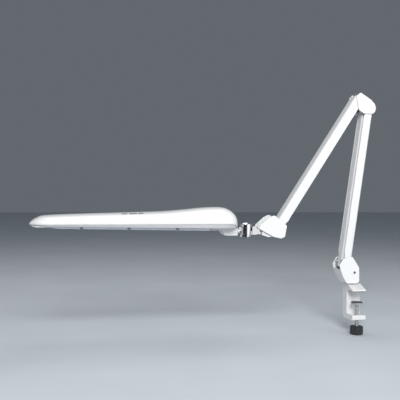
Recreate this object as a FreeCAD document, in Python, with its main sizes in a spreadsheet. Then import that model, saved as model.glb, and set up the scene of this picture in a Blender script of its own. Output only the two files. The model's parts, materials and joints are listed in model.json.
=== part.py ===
"""Swing arm desk lamp with a desk clamp, two parallelogram arms and a long tube-lamp head.

Frame: millimetres, +Z up. The origin is on the base swivel axis, level with the desk top.
The arms and the head lie in the XZ plane, the head points to -X, and the desk is on the -Y side.
"""
import FreeCAD, Part
import math
import os
import Sketcher

V = FreeCAD.Vector

DIMENSIONS = [
    ("clamp_width", 38), ("spine_front", 10), ("spine_back", 14), ("jaw_reach", 46),
    ("jaw_tip_height", 5), ("jaw_height", 18), ("pad_thick", 1.5), ("spine_drop", 75),
    ("lower_arm_thick", 13), ("lower_arm_reach", 46), ("screw_offset", 32), ("screw_radius", 5),
    ("desk_gap", 28), ("foot_radius", 15), ("foot_thick", 6),
    ("knob_radius", 17), ("knob_top_drop", 93), ("knob_height", 20),
    ("swivel_radius", 6), ("bush_radius", 8), ("bush_depth", 22), ("swivel_depth", 38),
    ("flange_thick", 1), ("grub_drop", 29), ("gland_x", -12), ("gland_z", 36), ("gland_radius", 4.5),
    ("running_gap", 0.05), ("open_gap", 0.3), ("arm_length", 410),
    ("channel_half", 19.9), ("channel_wall", 2), ("web_offset", 10), ("lip_offset", 14), ("lip_run", 23),
    ("end_radius", 8), ("web_cutback", 15), ("ear_inner", 14.5), ("ear_thick", 3), ("ear_radius", 6.5),
    ("bar_half", 9), ("bar_depth", 9), ("bar_wall", 1.5), ("bar_tail", 13),
    ("stub_radius", 3), ("link_pin_radius", 2.5), ("spring_radius", 4.5),
    ("cover_inner", 21.3), ("cover_thick", 2.5), ("rim_thick", 2), ("spacer_radius", 5), ("bolt_radius", 2),
    ("hinge_x", -263), ("hinge_z", 161), ("hinge_pin_radius", 3), ("eye_radius", 7.5), ("eye_half", 5),
    ("fork_half", 10), ("barrel_x", -300.5), ("barrel_radius", 15), ("barrel_bottom", 146),
    ("barrel_split", 161.5), ("barrel_shoulder", 178), ("barrel_top", 185), ("post_radius", 6),
    ("roll_radius", 5), ("pocket_radius", 8.8), ("housing_half", 19), ("housing_bottom", 150.5),
    ("head_right", -326.5), ("head_left", -848), ("rim_height", 181.5), ("shell_thick", 2),
    ("half_width_right", 57), ("half_width_left", 47), ("end_round", 46),
    ("tube_radius", 8.75), ("tube_spacing", 22), ("tube_length", 384), ("cap_length", 31),
    ("button_radius", 5), ("button_travel", 2),
]

doc = FreeCAD.newDocument("desk_lamp")
sheet = doc.addObject("Spreadsheet::Sheet", "Dims")
for row, (alias, value) in enumerate(DIMENSIONS, start=1):
    sheet.set("A%d" % row, alias)
    sheet.set("B%d" % row, str(value))
    sheet.setAlias("B%d" % row, alias)
doc.recompute()
D = {alias: float(sheet.get(alias)) for alias, _ in DIMENSIONS}

NODES = {}


# ---------------------------------------------------------------- general helpers

def unique(name):
    """A free internal name that starts with the given words."""
    count = 1
    while doc.getObject("%s_%d" % (name, count)):
        count += 1
    return "%s_%d" % (name, count)


def node(label, obj):
    """Keep an object as the sub-part of this name."""
    obj.Label = label
    NODES[label] = obj
    return obj


def bind(obj, prop, expression):
    obj.setExpression(prop, expression)


def place(obj, position, axis=V(0, 0, 1), angle=0):
    obj.Placement = FreeCAD.Placement(V(*position), FreeCAD.Rotation(V(*axis), angle))
    return obj


AXIS_TURN = {"X": (V(0, 1, 0), 90), "Y": (V(1, 0, 0), -90), "Z": (V(0, 0, 1), 0),
             "-X": (V(0, 1, 0), -90), "-Z": (V(1, 0, 0), 180)}


def cylinder(radius, height, start, along="Z"):
    """A cylinder whose radius and height are sheet expressions, from start along one axis."""
    obj = doc.addObject("Part::Cylinder", unique("cylinder"))
    bind(obj, "Radius", radius)
    bind(obj, "Height", height)
    axis, angle = AXIS_TURN[along]
    return place(obj, start, axis, angle)


def rod_y(radius, half_length, x, z):
    """A round rod across the lamp, centred on y = 0."""
    obj = cylinder(radius, "2 * (%s)" % half_length, (x, 0, z), "Y")
    doc.recompute()
    obj.Placement.Base = V(x, -obj.Height.Value / 2, z)
    return obj


def box(sizes, start):
    """A box whose three sizes are sheet expressions."""
    obj = doc.addObject("Part::Box", unique("box"))
    for prop, size in zip(("Length", "Width", "Height"), sizes):
        bind(obj, prop, size)
    return place(obj, start)


def cut(base, *tools):
    """The base with each tool removed."""
    for tool in tools:
        result = doc.addObject("Part::Cut", unique("cut"))
        result.Base = base
        result.Tool = tool
        base = result
    return base


def fuse(*parts):
    if len(parts) == 1:
        return parts[0]
    result = doc.addObject("Part::MultiFuse", unique("fuse"))
    result.Shapes = list(parts)
    return result


def group(*parts):
    """Separate solids that share one node."""
    result = doc.addObject("Part::Compound", unique("group"))
    result.Links = list(parts)
    return result


def rounded(points):
    """Edges of a closed outline of (x, y, corner radius) points, with tangent arcs at the corners."""
    count = len(points)
    ends = []
    for i in range(count):
        x, y, radius = points[i]
        before = V(*points[i - 1][:2])
        after = V(*points[(i + 1) % count][:2])
        corner = V(x, y)
        if radius <= 0:
            ends.append((corner, None, corner))
            continue
        to_before = (before - corner).normalize()
        to_after = (after - corner).normalize()
        half = to_before.getAngle(to_after) / 2
        reach = radius / math.tan(half)
        middle_line = (to_before + to_after).normalize()
        middle = corner + middle_line * (radius / math.sin(half) - radius)
        ends.append((corner + to_before * reach, middle, corner + to_after * reach))
    edges = []
    for i in range(count):
        first, middle, last = ends[i]
        if middle is not None:
            edges.append(Part.Arc(first, middle, last))
        following = ends[(i + 1) % count][0]
        if last.distanceToPoint(following) > 1e-6:
            edges.append(Part.LineSegment(last, following))
    return edges


def sketch_on(body, role, edges, offset=0):
    """A sketch on one of the body's own origin planes, moved along the plane's normal."""
    sketch = body.newObject("Sketcher::SketchObject", unique("outline"))
    plane = [p for p in body.Origin.OriginFeatures if p.Role == role][0]
    sketch.AttachmentSupport = [(plane, "")]
    sketch.MapMode = "FlatFace"
    sketch.AttachmentOffset = FreeCAD.Placement(V(0, 0, offset), FreeCAD.Rotation())
    for edge in edges:
        sketch.addGeometry(edge)
    return sketch


def pad(body, sketch, length, symmetric=False):
    feature = body.newObject("PartDesign::Pad", unique("pad"))
    feature.Profile = sketch
    bind(feature, "Length", length)
    if symmetric:
        feature.SideType = "Symmetric"
    return feature


def plate(points, thickness, y_near, holes=()):
    """A flat plate in the XZ plane that runs from y_near towards +Y, with round holes (x, z, radius)."""
    body = doc.addObject("PartDesign::Body", unique("plate"))
    length = D[thickness]
    edges = rounded(points)
    for x, z, radius in holes:
        edges.append(Part.Circle(V(x, z), V(0, 0, 1), radius))
    sketch = sketch_on(body, "XZ_Plane", edges, -(y_near + length))
    pad(body, sketch, "Dims." + thickness)
    return body


def extrude_xz(points, half_expression):
    """A rounded XZ outline padded to both sides of y = 0."""
    body = doc.addObject("PartDesign::Body", unique("block"))
    sketch = sketch_on(body, "XZ_Plane", rounded(points))
    pad(body, sketch, "2 * (%s)" % half_expression, symmetric=True)
    return body


def fixed_shape(shape):
    """A feature for a lofted form that no primitive gives."""
    obj = doc.addObject("Part::Feature", unique("form"))
    obj.Shape = shape
    return obj


# ---------------------------------------------------------------- linkage points (x, z)

LOWER_LEAN = math.radians(81.87)
UPPER_LEAN = math.radians(-123)
P1 = V(-20, 80)
P2 = P1 + V(-12, -4)
LOWER_DIR = V(math.cos(LOWER_LEAN), math.sin(LOWER_LEAN))
UPPER_DIR = V(math.cos(UPPER_LEAN), math.sin(UPPER_LEAN))
Q1 = P1 + LOWER_DIR * D["arm_length"]
Q2 = P2 + LOWER_DIR * D["arm_length"]
R1 = V(8, 519)
R2 = R1 + V(4, -11.3)
S1 = R1 + UPPER_DIR * D["arm_length"]
S2 = R2 + UPPER_DIR * D["arm_length"]
BASE_BOLT = V(-3, 49)
ELBOW_BOLT = V(30, 504)
WRIST_BOLT = V(-236, 172)
HINGE = V(D["hinge_x"], D["hinge_z"])


# ---------------------------------------------------------------- clamp

def make_clamp_frame():
    """Cast C-frame: wedge jaw, spine with the swivel bore, and a lower arm with the threaded boss."""
    body = doc.addObject("PartDesign::Body", "clamp_casting")
    outline = [
        (-D["jaw_reach"], D["pad_thick"], 1), (-D["spine_front"], D["pad_thick"], 0),
        (-D["spine_front"], -D["spine_drop"] + D["lower_arm_thick"], 3),
        (-D["lower_arm_reach"], -D["spine_drop"] + D["lower_arm_thick"], 3),
        (-D["lower_arm_reach"], -D["spine_drop"], 3), (D["spine_back"], -D["spine_drop"], 8),
        (D["spine_back"], D["jaw_height"], 5), (-12, D["jaw_height"], 4),
        (-D["jaw_reach"], D["jaw_tip_height"], 2.5),
    ]
    sketch = sketch_on(body, "YZ_Plane", rounded(outline))
    pad(body, sketch, "Dims.clamp_width", symmetric=True)
    doc.recompute()
    before = body.Shape.Volume
    upper = cylinder("Dims.bush_radius", "Dims.bush_depth + Dims.jaw_height + 1", (0, 0, -D["bush_depth"]))
    lower = cylinder("Dims.swivel_radius + Dims.running_gap", "Dims.swivel_depth + 3",
                     (0, 0, -D["swivel_depth"] - 2))
    thread = cylinder("Dims.screw_radius + Dims.running_gap", "Dims.lower_arm_thick + 4",
                      (0, -D["screw_offset"], -D["spine_drop"] - 2))
    grub = cylinder("Dims.bolt_radius", "Dims.spine_back", (0, 0, -D["grub_drop"]), "Y")
    result = cut(body, upper, lower, thread, grub)
    doc.recompute()
    assert result.Shape.Volume < before - 1000
    node("clamp_frame", result)


def make_clamp_small_parts():
    tip_margin = 1.5
    jaw_pad = box(("Dims.clamp_width - 3", "Dims.jaw_reach - Dims.spine_front - 4", "Dims.pad_thick"),
                  (-(D["clamp_width"] - 3) / 2, tip_margin - D["jaw_reach"], 0))
    node("jaw_pad", jaw_pad)
    sleeve = cylinder("Dims.bush_radius", "Dims.bush_depth + Dims.jaw_height", (0, 0, -D["bush_depth"]))
    flange = cylinder("Dims.bush_radius + 3", "Dims.flange_thick", (0, 0, D["jaw_height"]))
    hole = cylinder("Dims.swivel_radius + Dims.running_gap", "60", (0, 0, -30))
    node("swivel_bush", cut(fuse(sleeve, flange), hole))
    grub = cylinder("Dims.bolt_radius", "Dims.spine_back - 5.5", (0, 5.1, -D["grub_drop"]), "Y")
    node("swivel_grub_screw", grub)


def make_clamp_screw():
    """Spindle with a ball end, and the hand knob pressed on its lower end."""
    top = -D["desk_gap"] - D["foot_thick"]
    y = -D["screw_offset"]
    stem = cylinder("Dims.screw_radius", "Dims.knob_top_drop - Dims.desk_gap - Dims.foot_thick + 14",
                    (0, y, -D["knob_top_drop"] - 14))
    neck = cylinder("Dims.screw_radius - 2", "4", (0, y, top - 0.3))
    node("clamp_spindle", fuse(stem, neck))
    knob_bottom = -D["knob_top_drop"] - D["knob_height"]
    rim = cylinder("Dims.knob_radius", "Dims.knob_height", (0, y, knob_bottom))
    socket = cylinder("Dims.screw_radius", "14", (0, y, -D["knob_top_drop"] - 14))
    grips = []
    grip_circle = D["knob_radius"] + 2.5
    for step in range(8):
        angle = math.radians(45 * step)
        x_grip = grip_circle * math.cos(angle)
        y_grip = y + grip_circle * math.sin(angle)
        grips.append(cylinder("4.5", "Dims.knob_height + 2", (x_grip, y_grip, knob_bottom - 1)))
    node("clamp_knob", cut(rim, socket, fuse(*grips)))


def make_clamp_foot():
    """Pressure foot that the spindle turns in, with a thin rubber face."""
    y = -D["screw_offset"]
    low = -D["desk_gap"] - D["foot_thick"]
    disc = cylinder("Dims.foot_radius", "Dims.foot_thick - Dims.pad_thick", (0, y, low))
    socket = cylinder("Dims.screw_radius - 2 + Dims.running_gap", "3.8", (0, y, low - 0.05))
    collar = cylinder("Dims.foot_radius - 7", "1", (0, y, low))
    node("pressure_foot", cut(fuse(disc, collar), socket))
    node("foot_pad", cylinder("Dims.foot_radius", "Dims.pad_thick", (0, y, -D["desk_gap"] - D["pad_thick"])))


# ---------------------------------------------------------------- knuckle brackets and covers

def ear_pair(points, holes):
    """The two equal ears of a knuckle bracket."""
    near = plate(points, "ear_thick", -D["ear_inner"] - D["ear_thick"], holes)
    far = plate(points, "ear_thick", D["ear_inner"], holes)
    return [near, far]


def stub_pins(centre):
    """Two headed stub pins in the ears, so that the link bar can pass between them."""
    pins = []
    for side in (-1, 1):
        stem_start = -D["channel_half"] - 0.1 if side < 0 else D["ear_inner"]
        head_start = -D["channel_half"] - 0.9 if side < 0 else D["channel_half"] + 0.1
        stem = cylinder("Dims.stub_radius", "Dims.channel_half - Dims.ear_inner + 0.1",
                        (centre.x, stem_start, centre.y), "Y")
        head = cylinder("Dims.stub_radius + 2", "0.8", (centre.x, head_start, centre.y), "Y")
        pins.append(fuse(stem, head))
    return pins


def link_pin(centre):
    """A through pin for the link bar, with a collar each side that keeps the bar central."""
    pin = rod_y("Dims.link_pin_radius", "Dims.ear_inner + Dims.ear_thick", centre.x, centre.y)
    collars = []
    for start in (-D["ear_inner"], D["bar_half"] + 0.4):
        collars.append(cylinder("Dims.link_pin_radius + 2", "Dims.ear_inner - Dims.bar_half - 0.4",
                                (centre.x, start, centre.y), "Y"))
    return fuse(pin, *collars)


def spacer(centre):
    """A round spacer through both ears, tapped at its ends for the cover screws."""
    bar = rod_y("Dims.spacer_radius", "Dims.cover_inner", centre.x, centre.y)
    hole = rod_y("Dims.bolt_radius", "Dims.cover_inner + 1", centre.x, centre.y)
    core = rod_y("Dims.bolt_radius + 1", "Dims.cover_inner - 8", centre.x, centre.y)
    return fuse(cut(bar, hole), core)


def cover_screws(centre, sides):
    """The countersunk cover screws of a knuckle, on the sides given."""
    screws = []
    for side in sides:
        outer = D["cover_inner"] + D["cover_thick"]
        stem_start = -outer + 0.4 if side < 0 else D["cover_inner"] - 7
        head_start = -outer + 0.4 if side < 0 else outer - 1.9
        stem = cylinder("Dims.bolt_radius", "Dims.cover_thick + 6.6", (centre.x, stem_start, centre.y), "Y")
        head = cylinder("Dims.bolt_radius + 1.5", "1.5", (centre.x, head_start, centre.y), "Y")
        screws.append(fuse(stem, head))
    return screws


def cover(outline, rim_boxes, screw_at, side, screwed=True):
    """A cover plate with a rim that stands in from its edge wherever a keep box allows it."""
    inner = D["cover_inner"]
    y_plate = -inner - D["cover_thick"] if side < 0 else inner
    face = plate(outline, "cover_thick", y_plate)
    solid = doc.addObject("PartDesign::Body", unique("rim_block"))
    y_start = -inner if side < 0 else 0
    sketch = sketch_on(solid, "XZ_Plane", rounded(outline), -(y_start + inner))
    pad(solid, sketch, "Dims.cover_inner")
    hollow = doc.addObject("Part::Offset2D", unique("inset"))
    hollow_sketch = doc.addObject("Sketcher::SketchObject", unique("inset_outline"))
    for edge in rounded(outline):
        hollow_sketch.addGeometry(edge)
    hollow.Source = hollow_sketch
    bind(hollow, "Value", "-Dims.rim_thick")
    prism = doc.addObject("Part::Extrusion", unique("inset_prism"))
    prism.Base = hollow
    prism.Dir = V(0, 0, 1)
    bind(prism, "LengthFwd", "Dims.cover_inner + 2")
    prism.Solid = True
    prism.Placement = FreeCAD.Placement(V(0, y_start + inner + 1, 0), FreeCAD.Rotation(V(1, 0, 0), 90))
    rim = cut(solid, prism)
    keeps = []
    for low_x, high_x, low_z, high_z in rim_boxes:
        keep = box((str(high_x - low_x), "2 * Dims.cover_inner", str(high_z - low_z)), (low_x, -inner, low_z))
        keeps.append(keep)
    kept = doc.addObject("Part::Common", unique("kept_rim"))
    kept.Base = rim
    kept.Tool = fuse(*keeps)
    shape = fuse(face, kept)
    if not screwed:
        return shape
    screw_hole = rod_y("Dims.bolt_radius", "40", screw_at.x, screw_at.y)
    head_start = -inner - D["cover_thick"] - 1 if side < 0 else inner + D["cover_thick"] - 1.9
    recess = cylinder("Dims.bolt_radius + 1.5", "2.9", (screw_at.x, head_start, screw_at.y), "Y")
    return cut(shape, screw_hole, recess)


BASE_OUTLINE = [
    (-35.5, 86, 4), (-46.5, 69.5, 5), (-44, 59, 3), (-36.5, 39, 20), (-24.5, 20, 5),
    (5.5, 20, 6), (10.5, 26, 4), (10, 62, 14), (-11, 93.5, 9),
]


def make_base():
    low, top = 23.5, 28
    ear_points = [
        (-20, low, 1), (4, low, 1), (6.6, 52, 6), (P1.x + 8, P1.y + 6.6, 6.3),
        (P2.x - 8.4, P2.y + 6.6, 6.3), (P2.x - 6.5, P2.y - 12, 5),
    ]
    holes = [(P1.x, P1.y, D["stub_radius"]), (P2.x, P2.y, D["link_pin_radius"]),
             (BASE_BOLT.x, BASE_BOLT.y, D["spacer_radius"])]
    ears = ear_pair(ear_points, holes)
    floor = extrude_xz([(-20, low, 0), (4, low, 0), (4, top, 1), (-20, top, 1)], "Dims.ear_inner + 0.5")
    collar_low = D["jaw_height"] + D["flange_thick"] + 0.3
    collar = cylinder("Dims.bush_radius + 2", str(low + 1 - collar_low), (0, 0, collar_low))
    pin_hole = cylinder("Dims.swivel_radius", "20", (0, 0, 15))
    node("base_bracket", cut(fuse(floor, collar, *ears), pin_hole))
    shaft = cylinder("Dims.swivel_radius", "Dims.swivel_depth + 27.5", (0, 0, -D["swivel_depth"]))
    groove = cut(cylinder("Dims.swivel_radius + 1", "5", (0, 0, -D["grub_drop"] - 2.5)),
                 cylinder("Dims.swivel_radius - 1.2", "7", (0, 0, -D["grub_drop"] - 3.5)))
    node("swivel_pin", cut(shaft, groove))
    node("base_pivot_pins", group(*stub_pins(P1)))
    node("base_link_pin", link_pin(P2))
    node("base_spacer", spacer(BASE_BOLT))
    node("base_cover_screws", group(*cover_screws(BASE_BOLT, (-1, 1))))
    rim_boxes = [(-50, -10, 18, 58), (-12, 14, 18, 60)]
    for name, side in (("base_cover_near", -1), ("base_cover_far", 1)):
        opening = cylinder("Dims.bush_radius + 2.5", "8", (0, 0, 17))
        shape = cut(cover(BASE_OUTLINE, rim_boxes, BASE_BOLT, side), opening)
        if side > 0:
            gland_hole = cylinder("Dims.gland_radius", "12", (D["gland_x"], 18, D["gland_z"]), "Y")
            shape = cut(shape, gland_hole)
        node(name, shape)
    make_gland()


def make_gland():
    """Cord gland in the far base cover, held by a lip inside and a collar outside."""
    x, y, z = D["gland_x"], D["cover_inner"], D["gland_z"]
    barrel = cylinder("Dims.gland_radius", "Dims.cover_thick", (x, y, z), "Y")
    collar = cylinder("Dims.gland_radius + 2", "4", (x, y + D["cover_thick"], z), "Y")
    lip = cylinder("Dims.gland_radius + 1.5", "2", (x, y - 2, z), "Y")
    bore = cylinder("Dims.gland_radius - 1.5", "20", (x, y - 5, z), "Y")
    node("cable_gland", cut(fuse(barrel, collar, lip), bore))


ELBOW_OUTLINE = [
    (-2.5, 521, 1.5), (9, 531, 4), (25, 521.5, 20), (40, 512.5, 12), (50.5, 501.5, 8),
    (54, 491.5, 6), (52, 481.5, 5), (45, 475.5, 5), (20, 475, 4), (5, 484, 6),
]


def make_elbow():
    ear_points = [
        (Q2.x - 6.6, Q2.y - 5.5, 5), (Q1.x + 6.6, Q1.y - 6.6, 6), (Q1.x + 7, Q1.y + 8, 6),
        (ELBOW_BOLT.x + 7, ELBOW_BOLT.y + 5, 6), (R1.x + 6, R1.y + 6.4, 5.5), (R1.x - 6.4, R1.y + 6.4, 6),
        (R1.x - 6.4, R1.y - 5, 6), (R2.x - 5.6, R2.y - 7, 6),
    ]
    holes = [(Q1.x, Q1.y, D["stub_radius"]), (Q2.x, Q2.y, D["link_pin_radius"]),
             (R1.x, R1.y, D["stub_radius"]), (R2.x, R2.y, D["link_pin_radius"]),
             (ELBOW_BOLT.x, ELBOW_BOLT.y, D["spacer_radius"])]
    near, far = ear_pair(ear_points, holes)
    node("elbow_plate_near", near)
    node("elbow_plate_far", far)
    node("elbow_pivot_pins", group(*(stub_pins(Q1) + stub_pins(R1))))
    node("elbow_link_pins", group(link_pin(Q2), link_pin(R2)))
    node("elbow_spacer", spacer(ELBOW_BOLT))
    node("elbow_cover_screw", fuse(*cover_screws(ELBOW_BOLT, (1,))))
    for name, side in (("elbow_cover_near", -1), ("elbow_cover_far", 1)):
        node(name, cover(ELBOW_OUTLINE, [(18.5, 60, 489, 535)], ELBOW_BOLT, side, screwed=side > 0))


WRIST_OUTLINE = [
    (-229.5, 203.5, 8), (-247, 194.5, 14), (-266.5, 177, 6), (-271.5, 169, 3), (-254, 159, 20),
    (-240, 151.5, 20), (-232, 147, 12), (-210.5, 142, 7), (-200, 146.5, 7), (-196.5, 165.5, 10),
    (-194.5, 175, 5),
]


def make_wrist():
    """Bracket with a neck that ends in the hinge eye."""
    ear_points = [
        (-260, 152, 4), (-243, 145.5, 10), (-234, 147, 4), (S2.x + 5, S2.y - 8, 5), (S2.x + 7, S2.y, 6),
        (S1.x + 7, S1.y + 3, 5), (S1.x + 2, S1.y + 7, 5), (-238, 190, 8), (-264, 178.5, 4), (-262, 166, 6),
    ]
    holes = [(S1.x, S1.y, D["stub_radius"]), (S2.x, S2.y, D["link_pin_radius"]),
             (WRIST_BOLT.x, WRIST_BOLT.y, D["spacer_radius"])]
    ears = ear_pair(ear_points, holes)
    bridge = extrude_xz([(-247, 148, 2), (-235, 147, 2), (-235, 163, 2), (-247, 166, 2)],
                        "Dims.ear_inner + 0.5")
    eye = rod_y("Dims.eye_radius", "Dims.eye_half", HINGE.x, HINGE.y)
    tongue = extrude_xz([(HINGE.x, HINGE.y - 5.2, 0), (-240, HINGE.y - 6.5, 1), (-240, HINGE.y + 4, 1),
                         (HINGE.x, HINGE.y + 5.5, 0)], "Dims.eye_half")
    pin_hole = rod_y("Dims.hinge_pin_radius + Dims.running_gap", "20", HINGE.x, HINGE.y)
    node("wrist_bracket", cut(fuse(bridge, eye, tongue, *ears), pin_hole))
    node("wrist_pivot_pins", group(*stub_pins(S1)))
    node("wrist_link_pin", link_pin(S2))
    node("wrist_spacer", spacer(WRIST_BOLT))
    node("wrist_cover_screw", fuse(*cover_screws(WRIST_BOLT, (1,))))
    for name, side in (("wrist_cover_near", -1), ("wrist_cover_far", 1)):
        node(name, cover(WRIST_OUTLINE, [(-225, -197, 136, 156)], WRIST_BOLT, side, screwed=side > 0))


# ---------------------------------------------------------------- arms

def arm_point(start, along, u, v):
    """Point at u along the arm and v towards its open side."""
    side = V(-along.y, along.x)
    return start + along * u + side * v


def arm_outline(start, along, points):
    result = []
    for u, v, radius in points:
        place_at = arm_point(start, along, u, v)
        result.append((place_at.x, place_at.y, radius))
    return result


def make_channel(name, start, along, web_start, web_step):
    """Pressed U-channel whose web runs from web_start to a cutback short of the far pivot.

    web_step is where the flanges reach their full height on the web side.
    """
    length = D["arm_length"]
    web, lip, end, back = D["web_offset"], D["lip_offset"], D["end_radius"], D["web_cutback"]
    round_end = end * 0.98
    run = D["lip_run"]
    side_view = [
        (-end, -end, round_end if web_step > end else 5), (web_step, -web, 4), (length - back - 2, -web, 4),
        (length - end, -end, 4), (length + end, -end, round_end), (length + end, end, round_end),
        (length - run, lip, 8), (run, lip, 8), (-end, end, round_end),
    ]
    if web_step > end:
        side_view.insert(1, (end, -end, 4))
    block = extrude_xz(arm_outline(start, along, side_view), "Dims.channel_half")
    wall = D["channel_wall"]
    hollow_view = [(-end - 2, -web + wall, 0), (length + end + 2, -web + wall, 0),
                   (length + end + 2, lip + 3, 0), (-end - 2, lip + 3, 0)]
    hollow = extrude_xz(arm_outline(start, along, hollow_view), "Dims.channel_half - Dims.channel_wall")
    ends = []
    for low, high in ((-end - 4, web_start), (length - back, length + end + 4)):
        under, over = -web - 3, -web + wall + 1
        view = [(low, under, 0), (high, under, 0), (high, over, 0), (low, over, 0)]
        ends.append(extrude_xz(arm_outline(start, along, view), "Dims.channel_half - Dims.channel_wall"))
    holes = []
    for u in (0, length):
        centre = arm_point(start, along, u, 0)
        hole = rod_y("Dims.stub_radius + Dims.running_gap", "Dims.channel_half + 1", centre.x, centre.y)
        holes.append(hole)
    shell = cut(block, hollow, *ends, *holes)
    tab_view = [(248, -web + 1, 0), (251, -web + 1, 0), (251, 8, 1), (248, 8, 1)]
    tab = extrude_xz(arm_outline(start, along, tab_view), "4")
    node(name, fuse(shell, tab))


def make_bar(name, start, along, tail, open_gap_at_far_end):
    """Slim U-profile link bar whose web faces out of the channel."""
    length = D["arm_length"]
    half_depth = D["bar_depth"] / 2
    view = [(-tail, -half_depth, 3), (length + 7, -half_depth, 4), (length + 7, half_depth, 3),
            (-tail, half_depth, 1)]
    block = extrude_xz(arm_outline(start, along, view), "Dims.bar_half")
    hollow_view = [(-tail - 1, -half_depth - 1, 0), (length + 9, -half_depth - 1, 0),
                   (length + 9, half_depth - D["bar_wall"], 0), (-tail - 1, half_depth - D["bar_wall"], 0)]
    hollow = extrude_xz(arm_outline(start, along, hollow_view), "Dims.bar_half - Dims.bar_wall")
    near_end = arm_point(start, along, 0, 0)
    far_end = arm_point(start, along, length, 0)
    holes = [rod_y("Dims.link_pin_radius + Dims.running_gap", "12", near_end.x, near_end.y),
             rod_y("Dims.link_pin_radius + " + open_gap_at_far_end, "12", far_end.x, far_end.y)]
    catch = arm_point(start, along, 82, 0)
    hook_pin = rod_y("1.5", "Dims.bar_half", catch.x, catch.y)
    node(name, fuse(cut(block, hollow, *holes), hook_pin))


def make_spring(name, start, along, bar_shift):
    """Envelope of the balance spring between the bar's hook pin and the channel's tab."""
    turn = math.degrees(math.atan2(along.y, along.x))
    first = arm_point(start, along, 92 + bar_shift, 4.5)
    coil = doc.addObject("Part::Cylinder", unique("coil"))
    bind(coil, "Radius", "Dims.spring_radius")
    bind(coil, "Height", "140")
    core = doc.addObject("Part::Cylinder", unique("core"))
    bind(core, "Radius", "Dims.spring_radius - 1.2")
    bind(core, "Height", "150")
    core.Placement.Base = V(0, 0, -5)
    tube = cut(coil, core)
    tube.Placement = FreeCAD.Placement(V(first.x, 0, first.y), FreeCAD.Rotation(V(0, 1, 0), 90 - turn))
    node(name, tube)


# ---------------------------------------------------------------- neck: tilt fork and swivel barrel

def make_tilt_fork():
    """Chromed fork on the hinge pin, in one piece with the lower half of the swivel barrel."""
    x0, z0 = HINGE.x, HINGE.y
    arms = extrude_xz([(-271, z0 - 7.5, 0), (x0, z0 - 7.5, 0), (x0, z0 + 7.5, 0), (-271, z0 + 7.5, 0)],
                      "Dims.fork_half")
    round_end = rod_y("Dims.eye_radius", "Dims.fork_half", x0, z0)
    block = extrude_xz([(-285, 152, 1), (-271, 152, 3), (-271, 173, 3), (-285, 173, 1)], "Dims.fork_half")
    lower_barrel = cylinder("Dims.barrel_radius", "Dims.barrel_split - Dims.barrel_bottom - 0.2",
                            (D["barrel_x"], 0, D["barrel_bottom"]))
    tongue = box(("12", "16", "Dims.barrel_split - 152 - 0.2"), (-295, -8, 152))
    post = cylinder("Dims.post_radius", "12", (D["barrel_x"], 0, D["barrel_split"] - 0.3))
    slot = rod_y("Dims.eye_radius + 0.4", "Dims.eye_half + 0.3", x0, z0)
    slot_way = box(("30", "2 * Dims.eye_half + 0.6", "40"), (x0 - 0.5, -D["eye_half"] - 0.3, z0 - 20))
    pin_hole = rod_y("Dims.hinge_pin_radius", "20", x0, z0)
    node("tilt_fork", cut(fuse(arms, round_end, block, lower_barrel, tongue, post), slot, slot_way, pin_hole))
    pin = rod_y("Dims.hinge_pin_radius", "Dims.fork_half", x0, z0)
    node("tilt_pin", pin)


def make_barrel():
    """Upper half of the swivel barrel, domed, in one piece with the roll shaft."""
    x, split = D["barrel_x"], D["barrel_split"]
    low = split + 0.2
    wall = cylinder("Dims.barrel_radius", "Dims.barrel_shoulder - Dims.barrel_split - 0.2", (x, 0, low))
    lug = box(("10", "14", "9.8"), (-321, -7, low))
    shaft = cylinder("Dims.roll_radius", "30", (-316.5, 0, D["hinge_z"]), "-X")
    stud = cylinder("Dims.roll_radius - 1", "9", (-346, 0, D["hinge_z"]), "-X")
    bore = cylinder("Dims.post_radius + Dims.running_gap", "12.2", (x, 0, split - 0.4))
    core = cylinder("Dims.barrel_radius + 0.4", "Dims.barrel_split - Dims.barrel_bottom + 0.3",
                    (x, 0, D["barrel_bottom"] - 0.1))
    node("swivel_barrel", cut(fuse(wall, lug, shaft, stud), bore, core))
    radius = D["barrel_radius"] - 0.6
    rise = D["barrel_top"] - D["barrel_shoulder"] - 1.5
    ball_radius = (radius ** 2 + rise ** 2) / (2 * rise)
    ball = doc.addObject("Part::Sphere", unique("ball"))
    bind(ball, "Radius", str(ball_radius))
    place(ball, (x, 0, D["barrel_top"] - ball_radius))
    cap = doc.addObject("Part::Common", unique("cap"))
    cap.Base = ball
    cap.Tool = cylinder("Dims.barrel_radius - 0.6", "20", (x, 0, D["barrel_shoulder"]))
    node("barrel_cap", cap)
    nut = doc.addObject("Part::Prism", unique("nut"))
    nut.Polygon = 6
    bind(nut, "Circumradius", "Dims.roll_radius + 3")
    bind(nut, "Height", "5")
    nut.Placement = FreeCAD.Placement(V(-352.5, 0, D["hinge_z"]), FreeCAD.Rotation(V(0, 1, 0), 90))
    thread = cylinder("Dims.roll_radius - 1", "8", (-346.4, 0, D["hinge_z"]), "-X")
    washer = cylinder("Dims.roll_radius + 3", "1", (-346.5, 0, D["hinge_z"]), "-X")
    node("roll_nut", group(cut(nut, thread), cut(washer, thread)))


# ---------------------------------------------------------------- head

CROWN = [(-848, 184), (-843, 189), (-834, 196), (-817, 203), (-774, 205.5), (-677, 208.5), (-602, 210.5),
         (-526, 213), (-462, 218), (-423, 222), (-396, 223.5), (-375, 224), (-362, 222), (-350, 218),
         (-339, 210.5), (-331, 201.5), (-327.5, 192.5), (-326.5, 184)]
HEAD_SCREWS = [(-391, -39), (-391, 39), (-345, -27), (-345, 27)]
WINDOW = (-839, -401)
SWITCH = V(-375, 33)


def between(x, points):
    """Straight interpolation in a list of (x, value)."""
    for (x0, a), (x1, b) in zip(points, points[1:]):
        if x0 <= x <= x1:
            return a + (b - a) * (x - x0) / (x1 - x0)
    return points[0][1] if x < points[0][0] else points[-1][1]


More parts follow.
